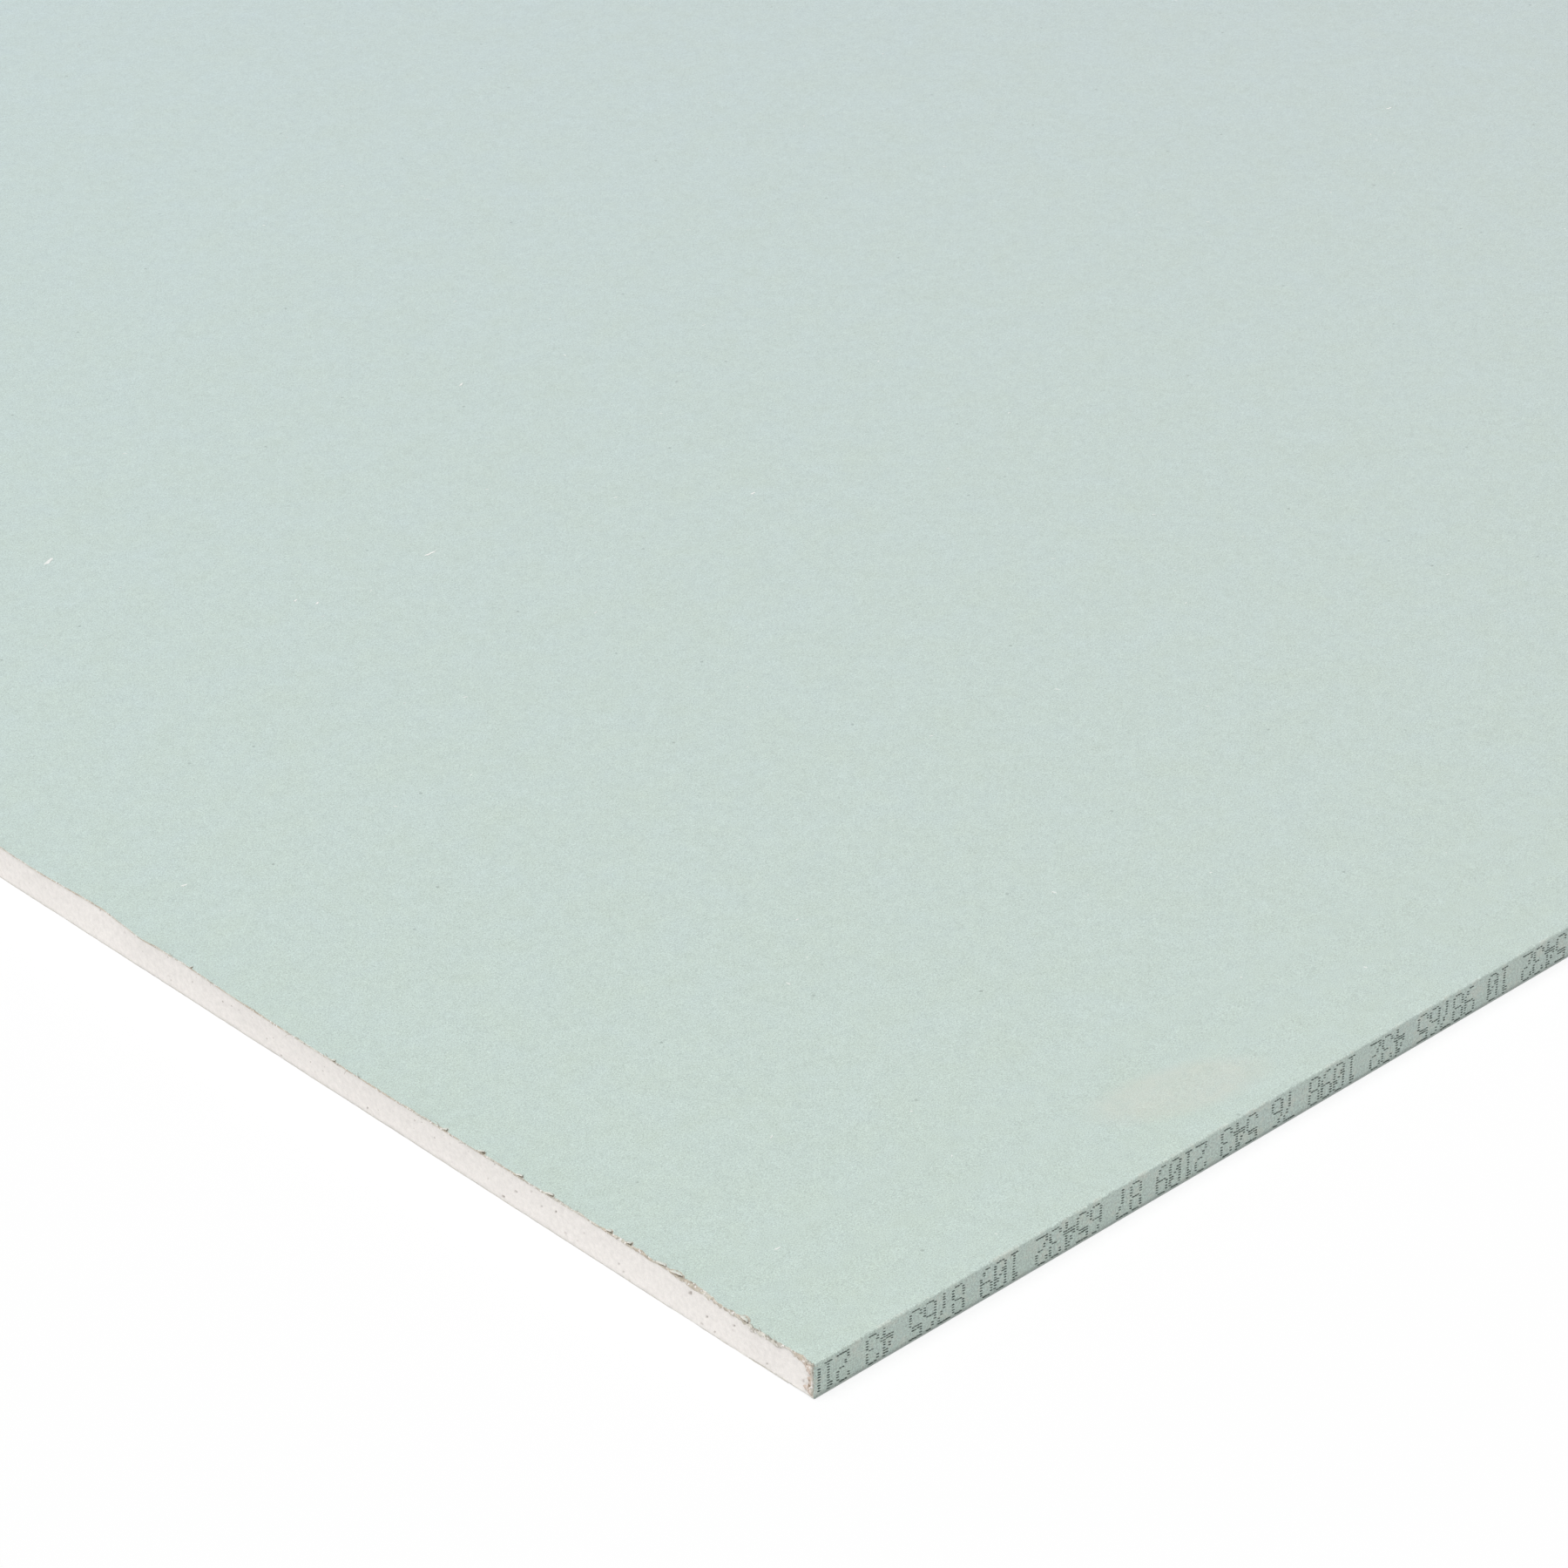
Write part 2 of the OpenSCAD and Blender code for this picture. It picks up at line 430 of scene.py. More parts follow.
    # The torn end shows the inner plies, ragged at the size of the fibres and powdered with plaster
    ragged = add(tree, "ShaderNodeMath", {0: torn, 1: noise["fray"]}, operation="ADD")
    bare = add(tree, "ShaderNodeMapRange", {"Value": ragged, "From Min": 0.8, "From Max": 1.05})
    pinkish = add(tree, "ShaderNodeMix", {0: ramp["specks"], 6: colours.ply_corner, 7: colours.speck},
                  data_type="RGBA")
    plies = ply_colour(tree, place, colours, dark_share=0.15)
    for share, above in (
            (ramp["corner"], pinkish), (ramp["crumbs"], colours.plaster), (ramp["flap"], colours.back_end)):
        plies = add(tree, "ShaderNodeMix", {0: share, 6: plies, 7: above}, data_type="RGBA")

    # The gap colour is a painted shadow under the curled flakes
    for share, above in (
            (dust, colours.face_smear), (crease, colours.ink), (bare, plies), (gap, colours.gap),
            (pale_flake_rim, colours.pale_flake_rim)):
        skin = add(tree, "ShaderNodeMix", {0: share, 6: skin, 7: above}, data_type="RGBA")
    relief = add(tree, "ShaderNodeBump", {"Height": noise["felt"], "Strength": 0.2, "Distance": 0.05 * MM})
    # Torn plies are crumbly
    crumbly = add(tree, "ShaderNodeMath", {0: noise["crumbs"], 1: noise["specks"]}, operation="SUBTRACT")
    height = add(tree, "ShaderNodeMath", {0: crumbly, 1: bare}, operation="MULTIPLY")
    relief = add(tree, "ShaderNodeBump", {
        "Height": height, "Strength": 0.8, "Distance": 0.5 * MM, "Normal": relief})
    finish_material(tree, skin, roughness=0.9, specular=0.25, relief=relief)
    return material


def plaster_material(colours):
    """Set gypsum, broken: chalky white, fully matt, with fine round pores."""
    material, tree, place = new_material("broken gypsum plaster")
    # Each noise has the size of its features in millimetres, detail and roughness
    cloud, fine, rub, rough = (
        add(tree, "ShaderNodeTexNoise", {
            "Vector": place, "Scale": per_metre(size), "Detail": detail, "Roughness": roughness})
        for size, detail, roughness in ((1.6, 2, 0.6), (0.35, 3, 0.8), (1.1, 3, 0.5), (0.7, 3, 0.7)))
    pit, rim = (
        add(tree, "ShaderNodeAttribute", attribute_name=name).outputs["Fac"] for name in ("pit", "rim"))
    both = add(tree, "ShaderNodeMath", {0: cloud, 1: fine}, operation="ADD")
    powder = add(tree, "ShaderNodeMapRange", {
        "Value": both, "From Min": 0.6, "From Max": 1.4, "To Min": 0.88, "To Max": 1.08})
    skin = add(tree, "ShaderNodeVectorMath", {0: colours.plaster[:3], "Scale": powder}, operation="SCALE")
    # Pores up to 0.5 mm wide, in some of the cells of 1.8 mm, of random size
    cells = add(tree, "ShaderNodeTexVoronoi", {"Vector": place, "Scale": per_metre(1.8)})
    spread = add(tree, "ShaderNodeSeparateColor", {"Color": cells.outputs["Color"]})
    reach = add(tree, "ShaderNodeMapRange", {"Value": spread, "From Min": 0.75, "To Max": 0.24})
    inside = add(tree, "ShaderNodeMath", {0: reach, 1: cells}, operation="SUBTRACT")
    pore = add(tree, "ShaderNodeMapRange", {"Value": inside, "From Max": 0.1})
    # Pores and pits are painted darker: painted shade in the hollows
    faint = add(tree, "ShaderNodeMath", {0: pore, 1: 0.6}, operation="MULTIPLY")
    dim = add(tree, "ShaderNodeMath", {0: faint, 1: pit}, operation="MAXIMUM")
    # Plies of paper are rubbed into the plaster along the rim
    rubbed = add(tree, "ShaderNodeMath", {0: rim, 1: rub}, operation="MULTIPLY")
    for share, above in ((dim, colours.pore_shade), (rubbed, colours.ply)):
        skin = add(tree, "ShaderNodeMix", {0: share, 6: skin, 7: above}, data_type="RGBA")
    carved = add(tree, "ShaderNodeMath", {0: rough, 1: pore}, operation="SUBTRACT")
    relief = add(tree, "ShaderNodeBump", {"Height": carved, "Strength": 0.7, "Distance": 0.15 * MM})
    finish_material(tree, skin, roughness=0.95, specular=0.2, relief=relief, ior=1.52)
    return material


def back_paper_material(colours):
    """Uncoated recycled liner paper: grey, with darker fibres."""
    material, tree, place = new_material("recycled grey liner paper")
    felted = add(tree, "ShaderNodeMapping", {"Vector": place, "Scale": (0.3, 1.0, 1.0)})
    felt = add(tree, "ShaderNodeTexNoise", {
        "Vector": felted, "Scale": per_metre(1.2), "Detail": 4.0, "Roughness": 0.7})
    cloud = add(tree, "ShaderNodeTexNoise", {"Vector": place, "Scale": per_metre(40), "Detail": 3.0})
    both = add(tree, "ShaderNodeMath", {0: felt, 1: cloud}, operation="ADD")
    dark = add(tree, "ShaderNodeMapRange", {"Value": both, "From Min": 0.8, "From Max": 1.3, "To Max": 0.6})
    torn = add(tree, "ShaderNodeAttribute", attribute_name="torn").outputs["Fac"]
    skin = colours.back
    for share, above in ((dark, colours.back_fibre), (torn, colours.back_end)):
        skin = add(tree, "ShaderNodeMix", {0: share, 6: skin, 7: above}, data_type="RGBA")
    relief = add(tree, "ShaderNodeBump", {"Height": felt, "Strength": 0.4, "Distance": 0.1 * MM})
    finish_material(tree, skin, roughness=0.92, specular=0.25, relief=relief)
    return material


def torn_ply_material(colours):
    """Torn kraft plies and loose fibres: matt, from tan to dark brown over a few millimetres."""
    material, tree, place = new_material("torn kraft ply")
    skin = ply_colour(tree, place, colours, dark_share=0.25)
    finish_material(tree, skin, roughness=0.95, specular=0.2)
    return material


def ink_material(colours):
    """Water-based jet ink soaked into paper: matt and uneven."""
    material, tree, place = new_material("soaked printing ink")
    soak = add(tree, "ShaderNodeTexNoise", {"Vector": place, "Scale": per_metre(2), "Detail": 3.0})
    faded = add(tree, "ShaderNodeMapRange", {
        "Value": soak, "From Min": 0.35, "From Max": 0.7, "To Max": 0.25})
    ink = add(tree, "ShaderNodeMix", {0: faded, 6: colours.ink, 7: colours.face}, data_type="RGBA")
    finish_material(tree, ink, roughness=0.85, specular=0.25)
    return material


def lint_material(colours):
    """Cotton-like paper lint: white and matt, a little uneven along its length."""
    material, tree, place = new_material("white paper lint")
    wisp = add(tree, "ShaderNodeTexNoise", {"Vector": place, "Scale": per_metre(1.5), "Detail": 2.0})
    thin = add(tree, "ShaderNodeMapRange", {
        "Value": wisp, "From Min": 0.4, "From Max": 0.7, "To Max": 0.25})
    lint = add(tree, "ShaderNodeMix", {0: thin, 6: colours.lint, 7: colours.face}, data_type="RGBA")
    finish_material(tree, lint, roughness=0.95, specular=0.2)
    return material


# Shapes

LATTICE = 8192
LATTICE_ROWS = 64


def dice(name, end=0):
    """Random numbers for what is strewn on the sheet or on a cut end, the same in each run."""
    return np.random.default_rng(SEEDS[name] + end)


def beside(places, size, count):
    """Numbers of the two lattice values beside each place, and its smooth share of the second."""
    at = np.asarray(places) / size + count / 2
    low = np.floor(at).astype(int)
    share = at - low
    return low % count, (low + 1) % count, share * share * (3 - 2 * share)


def drift(places, name, end):
    """Smooth noise from -1 to 1 along a line."""
    seed, size = NOISES[name]
    values = np.random.default_rng(seed + end).uniform(-1, 1, LATTICE)
    low, high, share = beside(places, size * MM, LATTICE)
    return values[low] * (1 - share) + values[high] * share


def grit(across, up, name, end=0):
    """Smooth noise from -1 to 1 over a cut end."""
    seed, size = NOISES[name]
    values = np.random.default_rng(seed + end).uniform(-1, 1, (LATTICE, LATTICE_ROWS))
    left, right, share = beside(across, size * MM, LATTICE)
    below, above, rise = beside(up, size * MM, LATTICE_ROWS)
    low_row = values[left, below] * (1 - share) + values[right, below] * share
    high_row = values[left, above] * (1 - share) + values[right, above] * share
    return low_row * (1 - rise) + high_row * rise


def unit(vectors):
    """Vectors of length one."""
    return vectors / np.linalg.norm(vectors, axis=1)[:, None]


def half_wrap(edges, inset):
    """Section of half of the face paper, from the crease to the end of the flap, as across and up."""
    slope = math.atan2(edges.taper_depth, edges.taper_width)
    edge_height = FACE_HEIGHT - edges.taper_depth
    face_bend = edges.face_bend + FACE_PAPER
    back_bend = edges.back_bend + FACE_PAPER
    face_centre = np.array([
        HALF_WIDTH - face_bend, edge_height - face_bend * (1 - math.sin(slope)) / math.cos(slope)])
    back_centre = np.array([HALF_WIDTH - back_bend, BACK_PAPER + back_bend])
    points = [(HALF_WIDTH - edges.taper_width - inset * math.tan(slope / 2), FACE_HEIGHT - inset)]
    for centre, radius, start, end in (
            (face_centre, face_bend - inset, math.pi / 2 - slope, 0.0),
            (back_centre, back_bend - inset, 0.0, -math.pi / 2)):
        for turn in np.linspace(start, end, edges.bend_steps + 1):
            points.append(centre + radius * np.array([math.cos(turn), math.sin(turn)]))
    points.append((HALF_WIDTH - edges.flap_width, BACK_PAPER + inset))
    return np.array(points)


def wrap(edges, inset):
    """Section of the whole face paper, from the flap at -Y over the face to the flap at +Y."""
    half = half_wrap(edges, inset)
    return np.concatenate([(half * (-1, 1))[::-1], half])


def points_at(at, run, section):
    """Points of a section at distances along it."""
    return np.stack([np.interp(at, run, section[:, k]) for k in (0, 1)], axis=1)


def outward_of(outer, inner):
    """Directions out of the paper, from its section's outer and inner points."""
    return unit(np.column_stack([np.zeros(len(outer)), outer - inner]))


def face_columns(edges, cut):
    """Columns round the face paper's section: how far along, the outer and the inner points."""
    outer = wrap(edges, 0)
    inner = wrap(edges, FACE_PAPER)
    run = np.concatenate([[0], np.cumsum(np.hypot(*np.diff(outer, axis=0).T))])
    even = np.linspace(0, run[-1], int(run[-1] / cut.paper_step) + 1)
    # The section's own points stay, so that the folds keep their shape
    clear = np.abs(even[:, None] - run).min(axis=1) > 0.1 * cut.paper_step
    along = np.sort(np.concatenate([even[clear], run]))
    return along, points_at(along, run, outer), points_at(along, run, inner)


def stray(end, across):
    """How far a cut end's tear is set in from the straight cut."""
    wide = drift(across, "stray_wide", end) * 0.7 * MM + drift(across, "stray", end) * 0.25 * MM
    if end == FAR:
        return wide
    places, insets = np.array(NEAR_STRAY).T * MM
    from_corner = across + HALF_WIDTH
    beyond = np.clip((from_corner - places[-1]) / (BLEND * MM), 0, 1)
    return np.interp(from_corner, places, insets) + beyond * wide


def fray(end, across):
    """How frayed a cut end's tear is, about 1 at most."""
    wide = np.clip(0.3 + 0.6 * drift(across, "fray", end), 0.08, 1)
    if end == FAR:
        return wide
    places, shares = np.array(NEAR_FRAY).T
    from_corner = (across + HALF_WIDTH) / MM
    beyond = np.clip((from_corner - places[-1]) / BLEND, 0, 1)
    return np.interp(from_corner, places, shares) * (1 - beyond) + wide * beyond


def by_corner(across, reach):
    """One at the long edges, falling towards the middle of the sheet."""
    return np.exp((np.abs(across) - HALF_WIDTH) / reach)


def droop(across, cut):
    """How far the face is crushed down at a cut end, towards its corners."""
    return cut.corner_droop * by_corner(across, CORNER_REACH)


def curls_of(end):
    """Places across and lengths of the flakes that are peeled up along a cut end's tear."""
    shortest, longest = OTHER_CURL_LENGTHS
    others = dice("curls", end).uniform(
        (OTHER_CURLS_FROM, shortest), (2 * HALF_WIDTH, longest), (OTHER_CURLS, 2))
    curls = np.concatenate([np.array(NEAR_CURLS) * MM, others]) if end == NEAR else others
    return curls - (HALF_WIDTH, 0)


def curled(end, section):
    """Share of each point of the face that a peeled flake takes up, from 0 to 1."""
    across, height = section.T
    taken = np.zeros(len(across))
    for place, long in curls_of(end):
        share = np.clip((across - place) / long + 0.5, 0, 1)
        taken = np.maximum(taken, np.sin(math.pi * share) ** 0.5)
    return taken * (height > FACE_ZONE)


def tear_line(end, run, section, cut):
    """How far the break, the lip of the torn paper and the green ply behind it are set in."""
    across, height = section.T
    broken = stray(end, across) * (height / FACE_HEIGHT).clip(0, 1)
    # The back and the flaps under it are cut clean, and the rest is torn
    frayed = np.clip((height - 1 * MM) / (2 * MM), 0.2, 1) * fray(end, across)
    lip = broken
    for name, part in (("tear_wide", 1.2), ("tear", 1.0), ("tear_fine", 0.8)):
        lip = lip + drift(run, name, end) * part * cut.ragged * (0.3 + 0.7 * frayed)
    # The green ply is set in a little all along, more in thin places and most where it burst
    burst = np.clip(drift(run, "burst", end) - 0.25, 0, 1) / 0.75
    thin = np.clip(drift(run, "thin", end), 0, 1)
    green = lip + (0.08 + 0.25 * thin + burst) * cut.bare_ply * frayed
    return broken, lip, green + curled(end, section) * cut.curl_width


def finished_mesh(name, points, faces, attributes=None):
    """A mesh from arrays, smooth but for its sharp edges, with named values on its points."""
    mesh = bpy.data.meshes.new(name)
    mesh.from_pydata(points.tolist(), [], faces)
    for label, values in (attributes or {}).items():
        kind, field = ("FLOAT_VECTOR", "vector") if values.ndim == 2 else ("FLOAT", "value")
        layer = mesh.attributes.new(label, kind, "POINT")
        layer.data.foreach_set(field, values.astype(np.float32).ravel())
    if faces:
        mesh.shade_smooth()
        mesh.set_sharp_from_angle(angle=math.radians(40))
    mesh.update()
    return mesh


def finished_piece(name, mesh, material, replaced=None):
    """Links a finished mesh as a piece of the sheet that rides with it."""
    if material is not None:
        mesh.materials.append(material)
    piece = bpy.data.objects.new(name, mesh)
    bpy.context.scene.collection.objects.link(piece)
    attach(piece, BODY)
    if replaced:
        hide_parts(replaced)
    return piece


# Rows of points behind the green ply's torn edge, as distances along the sheet
PAPER_ROWS = (0.3 * MM, 0.8 * MM, 1.8 * MM, 4.0 * MM, 9.0 * MM)
LIFT_REACH = 4.0 * MM


def torn_end(end, run, outer, inner, cut):
    """Rows of points over one torn end, from its inside over the lip to the outside.

    Each row comes with its bareness and with the painted shadow in the gap under the flakes.
    """
    across, height = outer.T
    broken, lip, green = tear_line(end, run, outer, cut)
    # The face lifts in places and is crushed at the corners, but the long edges and the back stay flat
    rise = np.clip(drift(run, "rise", end), 0, 1) ** 2 * cut.lift - droop(across, cut)
    rise = rise * np.clip((inner[:, 1] - CORE_HIGH.z + 2.5 * MM) / (1.5 * MM), 0, 1)
    # Torn plies fold over the plaster's rim, most of all at the corners, but not at the clean-cut back
    fold = 0.62 + 0.5 * drift(run, "fold", end) + 0.2 * drift(run, "fold_wide", end)
    cornered = by_corner(across, CORNER_REACH)
    torn = np.clip((height - 0.5 * MM) / (1.5 * MM), 0, 1)
    reach = cut.fold * fray(end, across) + cornered * (cut.corner_fold - cut.fold)
    fold = np.clip(fold, 0.1, 1) * reach * torn
    bulge = (0.1 * MM + 0.2 * fold) * torn
    out = outer - inner
    thickness = np.hypot(out[:, 0], out[:, 1])
    out = out / thickness[:, None]
    under = curled(end, outer)
    rows = []

    def row(inset, depth, lift_share, bareness, gap=0.0):
        section = outer - out * (depth - rise * lift_share)[:, None]
        x = end * (HALF_LENGTH - inset)
        rows.append((np.column_stack([x, section]), np.zeros(len(run)) + bareness, under * gap))

    # From the paper's inside over the folded plies and the lip to the green ply
    row(lip + PAPER_ROWS[-1], thickness, 0.0, 1.0)
    row(lip + 0.1 * MM, thickness, 1.0, 1.0)
    row(broken - 0.5 * bulge, thickness + fold, 1.0, 1.0 + cornered)
    row(broken - bulge, thickness + 0.5 * fold, 1.0, 1.0 + cornered, 0.2)
    row(np.minimum(lip, broken) - 0.5 * bulge, thickness * 0.6, 1.0, 1.0, 0.9)
    row((lip + green) / 2, thickness * 0.3, 1.0, 0.9, 1.0)
    row(green, thickness * 0, 1.0, 0.4)
    for step in PAPER_ROWS:
        row(green + step, thickness * 0, max(0.0, 1 - step / LIFT_REACH) ** 2, 0.0)
    return rows


def torn_sheet(name, run, outer, inner, cut):
    """A closed sheet of paper with torn ends, from its section's outer and inner points."""
    near, far = (torn_end(end, run, outer, inner, cut) for end in (NEAR, FAR))
    rows = near + far[::-1]
    points, torn, gap = (np.concatenate(parts) for parts in zip(*rows))
    index = np.arange(len(points)).reshape(len(rows), len(run))
    ahead = np.roll(index, -1, axis=0)
    quads = np.stack([index[:, :-1], index[:, 1:], ahead[:, 1:], ahead[:, :-1]], axis=-1)
    faces = quads.reshape(-1, 4).tolist()
    faces.append(index[::-1, -1].tolist())
    faces.append(index[:, 0].tolist())
    return finished_mesh(name, points, faces, {"torn": torn, "gap": gap})


def core_columns(edges, cut):
    """Places across the core and the bottom and top of the core at each."""
    half = half_wrap(edges, FACE_PAPER)
    middle = edges.bend_steps + 2
    top = half[:middle]
    bottom = half[middle:][::-1]
    # The core steps down to the back paper where the flap ends
    flap_end = bottom[0, 0]
    step = flap_end - 0.01 * MM
    even = np.arange(0, top[1, 0], cut.core_step)
    across = np.unique(np.concatenate([even, [step, flap_end], top[1:, 0]]))
    across = np.concatenate([-across[:0:-1], across])
    away = np.abs(across)
    high = np.interp(away, np.append(0, top[:, 0]), np.append(top[0, 1], top[:, 1]))
    low = np.interp(away, np.append(step, bottom[:, 0]), np.append(BACK_PAPER, bottom[:, 1]))
    return across, low, high


def pits_of(end, cut):
    """Places across, heights, radii and shares of full depth of a cut end's pits."""
    random = dice("pits", end)
    across = random.uniform(-HALF_WIDTH, HALF_WIDTH, cut.pits)
    up = random.uniform(BACK_PAPER, CORE_HIGH.z, cut.pits)
    radius = cut.pit_radius * random.uniform(0.4, 1.0, cut.pits)
    depth = random.uniform(0.2, 0.7, cut.pits)
    pits = np.column_stack([across, up, radius, depth])
    if end == FAR:
        return pits
    chosen = np.array(NEAR_PITS) * MM - (HALF_WIDTH, 0, 0)
    return np.concatenate([pits, np.column_stack([chosen, np.ones(len(chosen))])])


def core_end(end, across, low, high, rows, cut):
    """Points of one broken end of the core, row by row, with their pits and their paper-rubbed rim."""
    share = np.linspace(0, 1, rows)[:, None]
    high = high - droop(across, cut)
    up = low + (np.maximum(high, low) - low) * share
    wide = np.broadcast_to(across, up.shape)
    inset = stray(end, across) * share
    inset = inset + cut.plaster_grit * (grit(wide, up, "grit", end) + grit(wide, up, "grit_fine", end))
    # In places the plaster crumbles away right under the face paper
    below_rim = high - up
    crumble = np.clip(drift(across, "crumble", end) + 0.2, 0, 1) * 0.15 * MM
    inset = inset + crumble * np.exp(-below_rim / (0.6 * MM))
    # Each pit is wider than high, with an uneven rim and a flat bottom
    pit = np.zeros(up.shape)
    for place, height, radius, deep in pits_of(end, cut):
        near = np.flatnonzero(np.abs(across - place) < radius)
        wobble = 1 + 0.2 * grit(wide[:, near], up[:, near], "pit_shape")
        away = np.hypot(wide[:, near] - place, (up[:, near] - height) * 1.3) * wobble / radius
        pit[:, near] = np.maximum(pit[:, near], np.clip(1.2 - away ** 2, 0, 1) * deep)
    inset = inset + pit * 0.7 * cut.pit_radius
    # Paper is rubbed into the plaster under the face and beside the long edges
    from_side = across[-1] - np.abs(wide)
    rim = np.maximum(np.exp(-below_rim / (0.35 * MM)), np.exp(-from_side / (1.6 * MM)))
    points = np.stack([end * (HALF_LENGTH - inset), wide, up], axis=-1)
    return points.reshape(-1, 3), pit.ravel(), rim.ravel()


def curl_mesh(end, places, cut, random):
    """Flakes of green ply that run along the tear, rise to a free tip and show brown below."""
    top_x, top_y, top_z = places[places[:, 2] > FACE_ZONE].T
    share = np.linspace(0, 1, CURL_STATIONS)
    count = len(CURL_SECTION)
    points = []
    faces = []
    for place, long in curls_of(end):
        # The tip stands up and hangs out past the tear, and both ends are narrow
        y = place + (0.5 - share) * long
        edge = np.interp(y, top_y, top_x) + end * 0.25 * MM * share
        full = min(1.0, long / FULL_CURL)
        lift = cut.curl_height * full * random.uniform(0.6, 1.1) * share ** 1.8
        wide = cut.curl_width * np.sin(math.pi * (0.12 + 0.84 * share)) ** 0.8
        wide = wide * (1 + 0.2 * drift(y, "flake", end))
        low = np.interp(y, top_y, top_z) + FACE_PAPER * 0.6
        ring = []
        for inward, roll, drop in CURL_SECTION[:, :3]:
            z = low + lift + roll * wide * share - drop * cut.curl_thickness
            ring.append(np.column_stack([edge - end * inward * wide, y, z]))
        index = len(points) + np.arange(CURL_STATIONS * count).reshape(CURL_STATIONS, count)
        ahead = np.roll(index, -1, axis=1)
        quads = np.stack([index[:-1], ahead[:-1], ahead[1:], index[1:]], axis=-1).reshape(-1, 4)
        caps = [index[0, ::-1], index[-1]]
        if end == FAR:
            quads = quads[:, ::-1]
            caps = [cap[::-1] for cap in caps]
        points += np.stack(ring, axis=1).reshape(-1, 3).tolist()
        faces += quads.tolist() + [cap.tolist() for cap in caps]
    bare, pale = np.tile(CURL_SECTION[:, 3:].T, len(points) // count)
    return finished_mesh("flakes", np.array(points), faces, {"torn": bare, "pale_flake_rim": pale})


def scatter_mesh(name, places, upward, along, size, shape, values):
    """Grows a copy of a shape on each place, turned and sized for it, as one plain mesh."""
    marks = {"upward": upward, "along": along, "size": size}
    tree = bpy.data.node_groups.new(name, "GeometryNodeTree")
    tree.interface.new_socket("Geometry", in_out="OUTPUT", socket_type="NodeSocketGeometry")
    tree.interface.new_socket("Geometry", in_out="INPUT", socket_type="NodeSocketGeometry")
    for label, value in values.items():
        kind = "NodeSocketMaterial" if isinstance(value, bpy.types.Material) else "NodeSocketFloat"
        tree.interface.new_socket(label, in_out="INPUT", socket_type=kind)
    given = tree.nodes.new("NodeGroupInput").outputs
    fields = {
        label: add(tree, "GeometryNodeInputNamedAttribute", {"Name": label}, data_type="FLOAT_VECTOR")
        for label in marks}
    turn = add(tree, "FunctionNodeAxesToRotation", {0: fields["upward"], 1: fields["along"]},
               primary_axis="Z", secondary_axis="X")
    copies = add(tree, "GeometryNodeInstanceOnPoints", {
        "Points": given["Geometry"], "Instance": shape(tree, given), "Rotation": turn,
        "Scale": fields["size"]})
    real = add(tree, "GeometryNodeRealizeInstances", {"Geometry": copies})
    painted = add(tree, "GeometryNodeSetMaterial", {"Geometry": real, "Material": given["Material"]})
    add(tree, "NodeGroupOutput", {0: painted})
    base = bpy.data.objects.new(name + "_points", finished_mesh(name + "_points", places, [], marks))
    bpy.context.scene.collection.objects.link(base)
    modifier = base.modifiers.new(name, "NODES")
    modifier.node_group = tree
    for item in tree.interface.items_tree:
        if item.in_out == "INPUT" and item.name in values:
            modifier[item.identifier] = values[item.name]
    bpy.context.view_layer.update()
    mesh = bpy.data.meshes.new_from_object(base.evaluated_get(bpy.context.evaluated_depsgraph_get()))
    for label in marks:
        if label in mesh.attributes:
            mesh.attributes.remove(mesh.attributes[label])
    base.modifiers.remove(modifier)
    bpy.data.objects.remove(base)
    mesh.name = name
    return mesh


def fibre_shape(tree, given):
    """A bent hair that stands on its root and thins to its tip, of unit length."""
    spine = add(tree, "GeometryNodeCurveQuadraticBezier", {
        "Resolution": 3, "Start": (0, 0, 0), "Middle": (0.05, 0, 0.7), "End": (0.6, 0.1, 0.8)})
    along = add(tree, "GeometryNodeSplineParameter")
    thin = add(tree, "ShaderNodeMapRange", {"Value": along, "To Min": 1.0, "To Max": 0.3})
    ring = add(tree, "GeometryNodeCurvePrimitiveCircle", {"Resolution": 3, "Radius": given["Thickness"]})
    return add(tree, "GeometryNodeCurveToMesh", {
        "Curve": spine, "Profile Curve": ring, "Scale": thin, "Fill Caps": True})


def lint_shape(tree, given):
    """A bent wisp that lies flat and thins to its end, of unit length, width and thickness."""
    spine = add(tree, "GeometryNodeCurveQuadraticBezier", {
        "Resolution": 5, "Start": (-0.5, 0, 0), "Middle": (0.1, 0.3, 0), "End": (0.5, -0.1, 0)})
    along = add(tree, "GeometryNodeSplineParameter")
    thin = add(tree, "ShaderNodeMapRange", {"Value": along, "To Min": 1.0, "To Max": given["End share"]})
    section = add(tree, "GeometryNodeCurvePrimitiveQuadrilateral", {"Width": 1.0, "Height": 1.0})
    wisp = add(tree, "GeometryNodeCurveToMesh", {
        "Curve": spine, "Profile Curve": section, "Scale": thin, "Fill Caps": True})
    return add(tree, "GeometryNodeSetShadeSmooth", {"Geometry": wisp, "Shade Smooth": False})


def lump_shape(tree, given):
    """A crumpled lump of torn ply, of unit length."""
    ball = add(tree, "GeometryNodeMeshIcoSphere", {"Radius": 0.5, "Subdivisions": 2})
    crumple = add(tree, "ShaderNodeTexNoise", {"Scale": 3.0, "Detail": 2.0}).outputs["Color"]
    swing = add(tree, "ShaderNodeVectorMath", {0: crumple, 1: (0.5, 0.5, 0.5)}, operation="SUBTRACT")
    push = add(tree, "ShaderNodeVectorMath", {0: swing, "Scale": given["Crumple"]}, operation="SCALE")
    return add(tree, "GeometryNodeSetPosition", {"Geometry": ball, "Offset": push})


def dot_shape(tree, given):
    """A flat six-sided dot of ink, one unit long and high."""
    return add(tree, "GeometryNodeMeshCylinder", {"Vertices": 6, "Radius": 0.5, "Depth": given["Film"]},
               fill_type="NGON")


